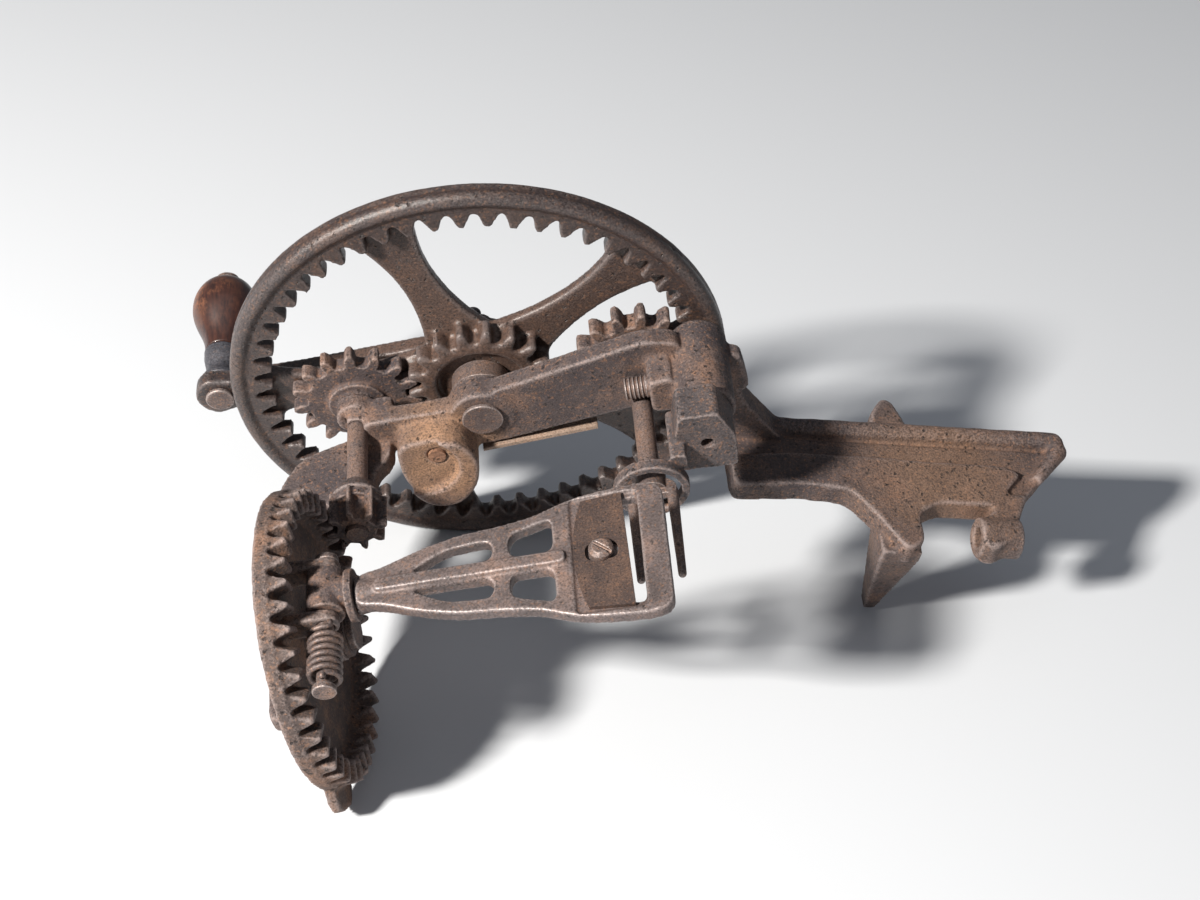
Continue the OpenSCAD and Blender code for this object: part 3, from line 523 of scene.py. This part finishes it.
def remake_casting(node, voxel, rounds, swell, finish, joined=()):
    """A casting with soft edges in place of a CAD node, and of others that are joined to it."""
    bm = bmesh.new()
    for solid in (node, *joined):
        bm.from_mesh(nodes[solid].data)
    bmesh.ops.remove_doubles(bm, verts=bm.verts, dist=1e-6)
    mesh = bpy.data.meshes.new(node + "_cast")
    bm.to_mesh(mesh)
    bm.free()
    piece = bpy.data.objects.new(node + "_cast", mesh)
    scene.collection.objects.link(piece)
    remade = piece.modifiers.new("squares", "REMESH")
    remade.mode = "VOXEL"
    remade.voxel_size = voxel
    remade.use_smooth_shade = True
    rounded = piece.modifiers.new("rounded", "SMOOTH")
    rounded.factor = 0.5
    rounded.iterations = rounds
    pushed = piece.modifiers.new("pushed", "DISPLACE")
    pushed.texture = uneven_skin
    pushed.texture_coords = "LOCAL"
    pushed.strength = swell
    pushed.mid_level = 0.5
    shaped = piece.evaluated_get(bpy.context.evaluated_depsgraph_get())
    final = bpy.data.meshes.new_from_object(shaped)
    final.name = node + "_casting"
    piece.modifiers.clear()
    piece.data = final
    measure_relief(final, 2, 1.6)
    final.materials.clear()
    final.materials.append(finish)
    body = nodes[node]["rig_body"]
    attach(piece, body)
    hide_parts(node, *joined)
    triangles = sum(len(p.vertices) - 2 for p in final.polygons)
    print(piece.name, "rides on", body, "with", triangles, "triangles")
    return piece


# %% [markdown]
# ## Remake each casting
#
# Large castings get faces of about 0.8 mm, small gears finer ones. The number of smoothing rounds sets how
# far an edge has worn, and the swell how uneven the skin is. Gears that mesh have little swell, so that
# their teeth keep clear. The push-off's block and ring are two solids that become one casting.

# %% Castings
# node, face size and smoothing rounds, swell, finish; lengths in millimetres
castings = [
    ("frame", 0.8, 5, 0.5, "frame"),
    ("drive_wheel", 0.8, 4, 0.15, "drive_wheel"),
    ("mid_gear", 0.5, 8, 0.05, "gears"),
    ("fork_pinion", 0.5, 5, 0.4, "gears"),
    ("drive_pinion", 0.4, 6, 0.3, "gears"),
    ("turntable", 0.75, 4, 0.5, "turntable"),
    ("arm_hub", 0.4, 6, 0.3, "gears"),
    ("knife_arm", 0.5, 6, 0.3, "knife_arm"),
]
for name, voxel, rounds, swell, finish in castings:
    remake_casting(name, voxel * mm, rounds, swell * mm, iron[finish])
remake_casting("push_off", 0.5 * mm, 6, 0.4 * mm, iron["push_off"], joined=["push_ring"])

# %% [markdown]
# ## Turned and forged steel
#
# The fork, the axle, the screws and the rivets have worn edges too. They are small, so the same helper
# remakes them with much finer faces and almost no swell.

# %% Steel pieces with soft edges
worn_steel = old_iron("worn_steel", steel_brown, steel_deep, steel_rust, (0.40, 0.34, 0.32), grain=1800.0,
                      rusty=0.4, wear=0.75, rough=0.55, metal=0.3, depth=0.00008)
steel_rounds = 5
steel_swell = 0.08 * mm
for name, voxel in (("wheel_axle", 0.35), ("fork", 0.25), ("set_screw", 0.25), ("blade_screw", 0.2),
                    ("hinge_pin", 0.3), ("handle_stud", 0.35), ("table_stud", 0.35), ("leaf_rivet", 0.25)):
    remake_casting(name, voxel * mm, steel_rounds, steel_swell, worn_steel)

# %% [markdown]
# ## The grip
#
# A grip is turned on a lathe, and spin does the same: a short profile goes once round the handle's axis.
# The profile runs from the ferrule over a waist to the ball at the end, and a subdivision rounds it.

# %% Turn the grip
def turned(name, profile, steps, axis_low, axis_turn):
    """A lathe shape: the profile is (radius, distance along the axis) in millimetres."""
    bm = bmesh.new()
    verts = [bm.verts.new((radius * mm, 0, along * mm)) for radius, along in profile]
    edges = [bm.edges.new(pair) for pair in zip(verts, verts[1:])]
    bmesh.ops.spin(bm, geom=verts + edges, cent=(0, 0, 0), axis=(0, 0, 1), angle=2 * math.pi,
                   steps=steps, use_merge=True)
    bmesh.ops.remove_doubles(bm, verts=bm.verts, dist=1e-7)
    bmesh.ops.recalc_face_normals(bm, faces=bm.faces)
    bmesh.ops.transform(bm, matrix=Matrix.Translation(axis_low) @ axis_turn, verts=bm.verts)
    for face in bm.faces:
        face.smooth = True
    mesh = bpy.data.meshes.new(name)
    bm.to_mesh(mesh)
    bm.free()
    piece = bpy.data.objects.new(name, mesh)
    scene.collection.objects.link(piece)
    rounded = piece.modifiers.new("rounded", "SUBSURF")
    rounded.levels = 2
    rounded.render_levels = 2
    return piece


def along_back(node):
    """Where a node's axis starts at the front, and a turn that points z to the back."""
    low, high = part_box(node)
    start = Vector(((low.x + high.x) / 2, low.y, (low.z + high.z) / 2))
    return start, Matrix.Rotation(-math.pi / 2, 4, "X")


grip_front, to_back = along_back("handle_grip")
grip_length = (grip_high.y - grip_low.y) / mm
grip_radius = (grip_high.x - grip_low.x) / 2 / mm
bore_radius = 3.06
grip_profile = [(bore_radius, 0), (6.3, 0), (6.4, 0.4), (6.6, 3), (7.6, 7), (9.9, 12), (11.7, 17),
                (grip_radius, 21), (11.6, 25), (9.8, 29.3), (7.4, 32), (4.6, grip_length - 0.4),
                (4.2, grip_length), (bore_radius, grip_length)]
grip = turned("grip_wood", grip_profile + grip_profile[:1], 40, grip_front, to_back)
grip.data.materials.append(wood)
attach(grip, "grip")
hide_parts("handle_grip")
print("grip:", round(grip_length, 1), "mm long,", round(2 * grip_radius, 1), "mm across")

# %% [markdown]
# ## The ferrule
#
# The dark metal cup between the grip and the crank is turned as well. It has a rolled foot where it meets
# the crank and a light waist, and its upper edge is rolled over the wood.

# %% Turn the ferrule
ferrule_front, to_back = along_back("handle_ferrule")
ferrule_low, ferrule_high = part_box("handle_ferrule")
ferrule_length = (ferrule_high.y - ferrule_low.y) / mm
ferrule_profile = [(bore_radius, 0), (6.6, 0), (7, 0.5), (7, 1.6), (6.5, 2.6), (5.6, 4.5), (5.5, 6),
                   (6.0, 8.5), (6.6, 11), (6.5, 13), (6.7, 13.8), (6.5, ferrule_length),
                   (bore_radius, ferrule_length)]
ferrule = turned("grip_ferrule", ferrule_profile + ferrule_profile[:1], 32, ferrule_front, to_back)
ferrule.data.materials.append(steel["ferrule"])
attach(ferrule, "grip")
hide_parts("handle_ferrule")
print("ferrule:", round(ferrule_length, 1), "mm long")

# %% [markdown]
# ## The hinge spring
#
# The knife arm is pressed to the apple by a wound spring on the hinge pin. Spin makes it too: a small ring
# goes round the pin and moves a little along it at each step. At both ends the wire turns through an elbow
# and runs straight along the pin.

# %% Wind the spring
coil_low, coil_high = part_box("arm_spring")
wire_radius = 0.9
coil_radius = (coil_high.z - coil_low.z) / 2 / mm - wire_radius
coil_room = (coil_high.y - coil_low.y) / mm
leg = 2.4 * wire_radius
elbow = 1.1 * wire_radius
curls = 7
ring_steps = 20

bm = bmesh.new()
ring = bmesh.ops.create_circle(bm, segments=10, radius=wire_radius)["verts"]
bmesh.ops.rotate(bm, verts=ring, matrix=Matrix.Rotation(math.pi / 2, 3, "X"))
bmesh.ops.translate(bm, verts=ring, vec=(coil_radius, 0, leg))
rise = (coil_room - 2 * leg) / (curls * ring_steps)
first_edges = list(bm.edges)
wound = bmesh.ops.spin(bm, geom=list(ring) + first_edges, cent=(0, 0, 0), axis=(0, 0, 1),
                       dvec=(0, 0, rise), angle=2 * math.pi * curls, steps=curls * ring_steps)
last_edges = [g for g in wound["geom_last"] if isinstance(g, bmesh.types.BMEdge)]
for edges, side in ((first_edges, -1), (last_edges, 1)):
    height = leg if side < 0 else coil_room - leg
    loop = edges + list({v for e in edges for v in e.verts})
    bent = bmesh.ops.spin(bm, geom=loop, cent=(coil_radius, 0, height + side * elbow), axis=(1, 0, 0),
                          angle=math.pi / 2, steps=5)["geom_last"]
    bent_edges = [g for g in bent if isinstance(g, bmesh.types.BMEdge)]
    pulled = bmesh.ops.extrude_edge_only(bm, edges=bent_edges)["geom"]
    tips = [g for g in pulled if isinstance(g, bmesh.types.BMVert)]
    bmesh.ops.translate(bm, verts=tips, vec=(0, 0, side * (leg - elbow)))
    bmesh.ops.contextual_create(bm, geom=[g for g in pulled if isinstance(g, bmesh.types.BMEdge)])
bmesh.ops.remove_doubles(bm, verts=bm.verts, dist=1e-4)
bmesh.ops.recalc_face_normals(bm, faces=bm.faces)
pin_end = Vector(((coil_low.x + coil_high.x) / 2, coil_high.y, (coil_low.z + coil_high.z) / 2))
to_front = Matrix.Rotation(math.pi / 2, 4, "X") @ Matrix.Scale(mm, 4)
bmesh.ops.transform(bm, verts=bm.verts, matrix=Matrix.Translation(pin_end) @ to_front)
for face in bm.faces:
    face.smooth = True
spring_mesh = bpy.data.meshes.new("hinge_spring")
bm.to_mesh(spring_mesh)
bm.free()
spring = bpy.data.objects.new("hinge_spring", spring_mesh)
scene.collection.objects.link(spring)
spring_mesh.materials.append(steel["shaft"])
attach(spring, nodes["arm_spring"]["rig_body"])
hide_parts("arm_spring")
print("spring:", curls, "curls,", len(spring_mesh.polygons), "faces")

# %% [markdown]
# ## Finishes for the remaining solids
#
# The plain shafts, washers, the blade and the leaf are right as they are. They only get a finish, and it
# goes in the slots that their objects already have.

# %% Dress the remaining solids
def dress(node, finish):
    """Gives a CAD node's object a finish, without touching its mesh."""
    solid = nodes[node]
    if not solid.material_slots:
        solid.data.materials.append(finish)
    for holder in solid.material_slots:
        holder.material = finish


for node in nodes:
    dress(node, steel["shaft"])
dress("knife_blade", steel["blade"])
dress("leaf_spring", steel["leaf"])
dress("axle_cotter", steel["ferrule"])
dress("lug_rivet", steel["rusted"])
print("dressed:", sum(1 for n in nodes.values() if not n.hide_render), "solids are shown")

# %% [markdown]
# ## The floor's finish
#
# The floor is matt and pale. Its back is clear, by the Backfacing output, so that from behind the room is
# seen instead.

# %% Finish the floor
pale = bpy.data.materials.new("pale_floor")
pale.use_nodes = True
tree = pale.node_tree
surface = tree.nodes["Principled BSDF"]
surface.inputs["Base Color"].default_value = (0.60, 0.62, 0.65, 1)
surface.inputs["Roughness"].default_value = 0.9
clear = put(tree, "BsdfTransparent")
sides = put(tree, "MixShader", None, Fac=put(tree, "NewGeometry").outputs["Backfacing"])
tree.links.new(surface.outputs[0], sides.inputs[1])
tree.links.new(clear.outputs[0], sides.inputs[2])
tree.links.new(sides.outputs[0], tree.nodes["Material Output"].inputs["Surface"])
floor_mesh.materials.append(pale)
print("floor finished")

# %% [markdown]
# ## Last update
#
# The view layer is updated once more, so that every object's place is current.

# %% Update the view layer
bpy.context.view_layer.update()
